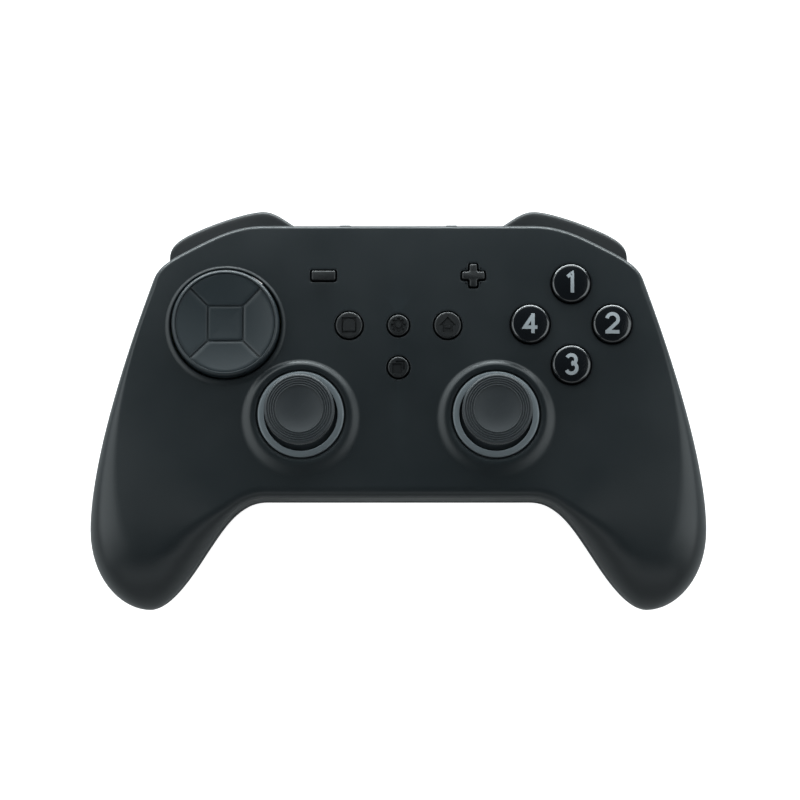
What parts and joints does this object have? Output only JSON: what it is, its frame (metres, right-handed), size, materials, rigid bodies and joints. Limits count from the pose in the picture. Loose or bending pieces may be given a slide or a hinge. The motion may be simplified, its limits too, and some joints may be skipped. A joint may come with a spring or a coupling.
{
  "type": "gamepad controller",
  "caption": "Two-handed game controller with thumb sticks, a direction disc, face and menu buttons, bumpers and sprung triggers in a two-shell moulded housing.",
  "frame": {"origin": "middle of the part's box on the surface that its back rests on", "axes": "+X to the player's right, +Y from the grips towards the triggers, +Z out of the face"},
  "size_m": [0.156, 0.104, 0.054],
  "materials": {
    "front_plastic": "soft-touch moulded",
    "rear_plastic": "fine moulded grain",
    "stick_rubber": "soft, ridged rim",
    "ring_metal": "turned, anodised grey",
    "dpad_plastic": "satin moulded",
    "button_gloss": "glossy domed",
    "menu_plastic": "satin moulded",
    "bumper_plastic": "semi-gloss moulded",
    "trigger_plastic": "satin moulded",
    "board_laminate": "coated board",
    "frame_plastic": "moulded nylon",
    "steel": "bright steel",
    "silicone": "moulded silicone",
    "cell_wrap": "wrapped cell",
    "weight_metal": "sintered metal"
  },
  "bodies": {
    "case": {"front_shell": "front_plastic", "rear_shell": "rear_plastic", "inner_frame": "frame_plastic", "main_board": "board_laminate", "board_screws": "steel", "case_screws": "steel", "stick_ring_left": "ring_metal", "stick_ring_right": "ring_metal", "stick_housing_left": "steel", "stick_housing_right": "steel", "stick_sensors": "board_laminate", "dpad_post": "frame_plastic", "dpad_membrane": "silicone", "face_button_membrane": "silicone", "menu_switches": "steel", "bumper_pins": "steel", "bumper_switches": "steel", "trigger_pins": "steel", "trigger_sensors": "board_laminate", "trigger_spring_left": "steel", "trigger_spring_right": "steel", "battery": "cell_wrap", "rumble_motor_left": "steel", "rumble_motor_right": "steel", "usb_port": "steel", "mode_switch_bodies": "frame_plastic"},
    "face_button_top": {"face_button_top": "button_gloss"},
    "face_button_right": {"face_button_right": "button_gloss"},
    "face_button_bottom": {"face_button_bottom": "button_gloss"},
    "face_button_left": {"face_button_left": "button_gloss"},
    "minus_button": {"minus_button": "menu_plastic"},
    "plus_button": {"plus_button": "menu_plastic"},
    "capture_button": {"capture_button": "menu_plastic"},
    "home_button": {"home_button": "menu_plastic"},
    "settings_button": {"settings_button": "menu_plastic"},
    "square_button": {"square_button": "menu_plastic"},
    "dpad_cross": {"dpad_cross": "frame_plastic"},
    "dpad_disc": {"dpad_disc": "dpad_plastic"},
    "stick_yoke_left": {"stick_yoke_left": "frame_plastic"},
    "stick_pivot_left": {"stick_pivot_left": "frame_plastic"},
    "stick_left": {"stick_shaft_left": "steel", "stick_cap_left": "stick_rubber"},
    "bumper_left": {"bumper_left": "bumper_plastic"},
    "trigger_left": {"trigger_left": "trigger_plastic"},
    "rumble_weight_left": {"rumble_weight_left": "weight_metal"},
    "mode_switch_left": {"mode_switch_left": "menu_plastic"},
    "stick_yoke_right": {"stick_yoke_right": "frame_plastic"},
    "stick_pivot_right": {"stick_pivot_right": "frame_plastic"},
    "stick_right": {"stick_shaft_right": "steel", "stick_cap_right": "stick_rubber"},
    "bumper_right": {"bumper_right": "bumper_plastic"},
    "trigger_right": {"trigger_right": "trigger_plastic"},
    "rumble_weight_right": {"rumble_weight_right": "weight_metal"},
    "mode_switch_right": {"mode_switch_right": "menu_plastic"}
  },
  "joints": [
    {"name": "press_face_top", "type": "slide", "parent": "case", "child": "face_button_top", "axis": [0, 0, -1], "range_m": [0, 0.0014], "stiffness_N_per_m": 450},
    {"name": "press_face_right", "type": "slide", "parent": "case", "child": "face_button_right", "axis": [0, 0, -1], "range_m": [0, 0.0014], "stiffness_N_per_m": 450},
    {"name": "press_face_bottom", "type": "slide", "parent": "case", "child": "face_button_bottom", "axis": [0, 0, -1], "range_m": [0, 0.0014], "stiffness_N_per_m": 450},
    {"name": "press_face_left", "type": "slide", "parent": "case", "child": "face_button_left", "axis": [0, 0, -1], "range_m": [0, 0.0014], "stiffness_N_per_m": 450},
    {"name": "press_minus", "type": "slide", "parent": "case", "child": "minus_button", "axis": [0, 0, -1], "range_m": [0, 0.0006], "stiffness_N_per_m": 1600},
    {"name": "press_plus", "type": "slide", "parent": "case", "child": "plus_button", "axis": [0, 0, -1], "range_m": [0, 0.0006], "stiffness_N_per_m": 1600},
    {"name": "press_capture", "type": "slide", "parent": "case", "child": "capture_button", "axis": [0, 0, -1], "range_m": [0, 0.0006], "stiffness_N_per_m": 1600},
    {"name": "press_home", "type": "slide", "parent": "case", "child": "home_button", "axis": [0, 0, -1], "range_m": [0, 0.0006], "stiffness_N_per_m": 1600},
    {"name": "press_settings", "type": "slide", "parent": "case", "child": "settings_button", "axis": [0, 0, -1], "range_m": [0, 0.0006], "stiffness_N_per_m": 1600},
    {"name": "press_square", "type": "slide", "parent": "case", "child": "square_button", "axis": [0, 0, -1], "range_m": [0, 0.0006], "stiffness_N_per_m": 1600},
    {"name": "dpad_rock_updown", "type": "hinge", "parent": "case", "child": "dpad_cross", "pos_m": [-0.0433, 0.0187, 0.037], "axis": [1, 0, 0], "range_deg": [-5, 5], "stiffness_Nm_per_rad": 0.15},
    {"name": "dpad_rock_leftright", "type": "hinge", "parent": "dpad_cross", "child": "dpad_disc", "pos_m": [-0.0433, 0.0187, 0.037], "axis": [0, 1, 0], "range_deg": [-5, 5], "stiffness_Nm_per_rad": 0.15},
    {"name": "stick_left_updown", "type": "hinge", "parent": "case", "child": "stick_yoke_left", "pos_m": [-0.0244, -0.004, 0.029], "axis": [1, 0, 0], "range_deg": [-18, 18], "stiffness_Nm_per_rad": 0.03},
    {"name": "stick_left_leftright", "type": "hinge", "parent": "stick_yoke_left", "child": "stick_pivot_left", "pos_m": [-0.0244, -0.004, 0.029], "axis": [0, 1, 0], "range_deg": [-18, 18], "stiffness_Nm_per_rad": 0.03},
    {"name": "stick_left_click", "type": "slide", "parent": "stick_pivot_left", "child": "stick_left", "axis": [0, 0, -1], "range_m": [0, 0.0005], "stiffness_N_per_m": 6000},
    {"name": "bumper_left_press", "type": "hinge", "parent": "case", "child": "bumper_left", "pos_m": [-0.0225, 0.0385, 0.0212], "axis": [0, 0, 1], "range_deg": [0, 2.5], "stiffness_Nm_per_rad": 1},
    {"name": "trigger_left_pull", "type": "hinge", "parent": "case", "child": "trigger_left", "pos_m": [-0.039, 0.0355, 0.0215], "axis": [-1, 0, 0], "range_deg": [0, 14], "stiffness_Nm_per_rad": 0.12, "springref_deg": -5.73},
    {"name": "rumble_left_spin", "type": "hinge", "parent": "case", "child": "rumble_weight_left", "pos_m": [-0.0635, -0.006, 0.014], "axis": [0, 1, 0], "continuous": true},
    {"name": "mode_left_slide", "type": "slide", "parent": "case", "child": "mode_switch_left", "axis": [1, 0, 0], "range_m": [-0.001, 0.001]},
    {"name": "stick_right_updown", "type": "hinge", "parent": "case", "child": "stick_yoke_right", "pos_m": [0.0244, -0.004, 0.029], "axis": [1, 0, 0], "range_deg": [-18, 18], "stiffness_Nm_per_rad": 0.03},
    {"name": "stick_right_leftright", "type": "hinge", "parent": "stick_yoke_right", "child": "stick_pivot_right", "pos_m": [0.0244, -0.004, 0.029], "axis": [0, 1, 0], "range_deg": [-18, 18], "stiffness_Nm_per_rad": 0.03},
    {"name": "stick_right_click", "type": "slide", "parent": "stick_pivot_right", "child": "stick_right", "axis": [0, 0, -1], "range_m": [0, 0.0005], "stiffness_N_per_m": 6000},
    {"name": "bumper_right_press", "type": "hinge", "parent": "case", "child": "bumper_right", "pos_m": [0.0225, 0.0385, 0.0212], "axis": [0, 0, -1], "range_deg": [0, 2.5], "stiffness_Nm_per_rad": 1},
    {"name": "trigger_right_pull", "type": "hinge", "parent": "case", "child": "trigger_right", "pos_m": [0.039, 0.0355, 0.0215], "axis": [-1, 0, 0], "range_deg": [0, 14], "stiffness_Nm_per_rad": 0.12, "springref_deg": -5.73},
    {"name": "rumble_right_spin", "type": "hinge", "parent": "case", "child": "rumble_weight_right", "pos_m": [0.0635, -0.006, 0.014], "axis": [0, 1, 0], "continuous": true},
    {"name": "mode_right_slide", "type": "slide", "parent": "case", "child": "mode_switch_right", "axis": [1, 0, 0], "range_m": [-0.001, 0.001]}
  ]
}
